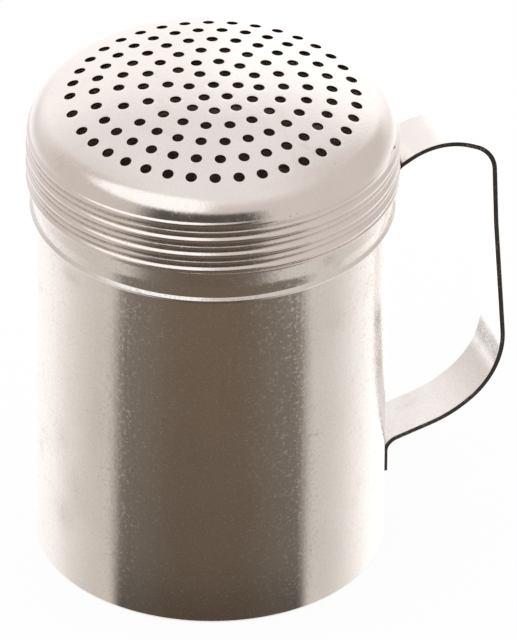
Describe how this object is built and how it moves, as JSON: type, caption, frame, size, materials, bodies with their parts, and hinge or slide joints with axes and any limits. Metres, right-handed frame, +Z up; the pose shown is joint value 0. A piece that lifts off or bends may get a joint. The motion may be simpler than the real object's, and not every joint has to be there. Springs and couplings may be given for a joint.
{
  "type": "spice shaker",
  "caption": "Round stainless spice shaker: drawn can with a side strap handle and a domed, perforated screw lid.",
  "frame": {"origin": "centre of the can's flat underside", "axes": "+Z up along the can's axis, +X towards the strap handle"},
  "size_m": [0.0982, 0.0748, 0.106],
  "materials": {
    "can_steel": "satin, fine tumbled grain",
    "strap_steel": "satin, with dark sheared edges",
    "weld_steel": "dull, heat-tinted spot welds",
    "lid_steel": "bright satin"
  },
  "bodies": {
    "can": {"can_body": "can_steel", "can_neck": "can_steel", "mouth_curl": "can_steel", "handle_strap": "strap_steel", "upper_weld_nuggets": "weld_steel", "lower_weld_nuggets": "weld_steel"},
    "lid_edge": {"lid_hem": "lid_steel"},
    "lid": {"lid_crown": "lid_steel", "lid_skirt": "lid_steel"}
  },
  "joints": [
    {"name": "lid_rise", "type": "slide", "parent": "can", "child": "lid_edge", "axis": [0, 0, 1], "range_m": [0, 0.01226]},
    {"name": "lid_turn", "type": "hinge", "parent": "lid_edge", "child": "lid", "pos_m": [0, 0, 0.0858], "axis": [0, 0, 1], "range_deg": [0, 1260]}
  ],
  "couplings": [
    {"joint": "lid_rise", "follows": "lid_turn", "m_per_rad": 0.00055704}
  ]
}
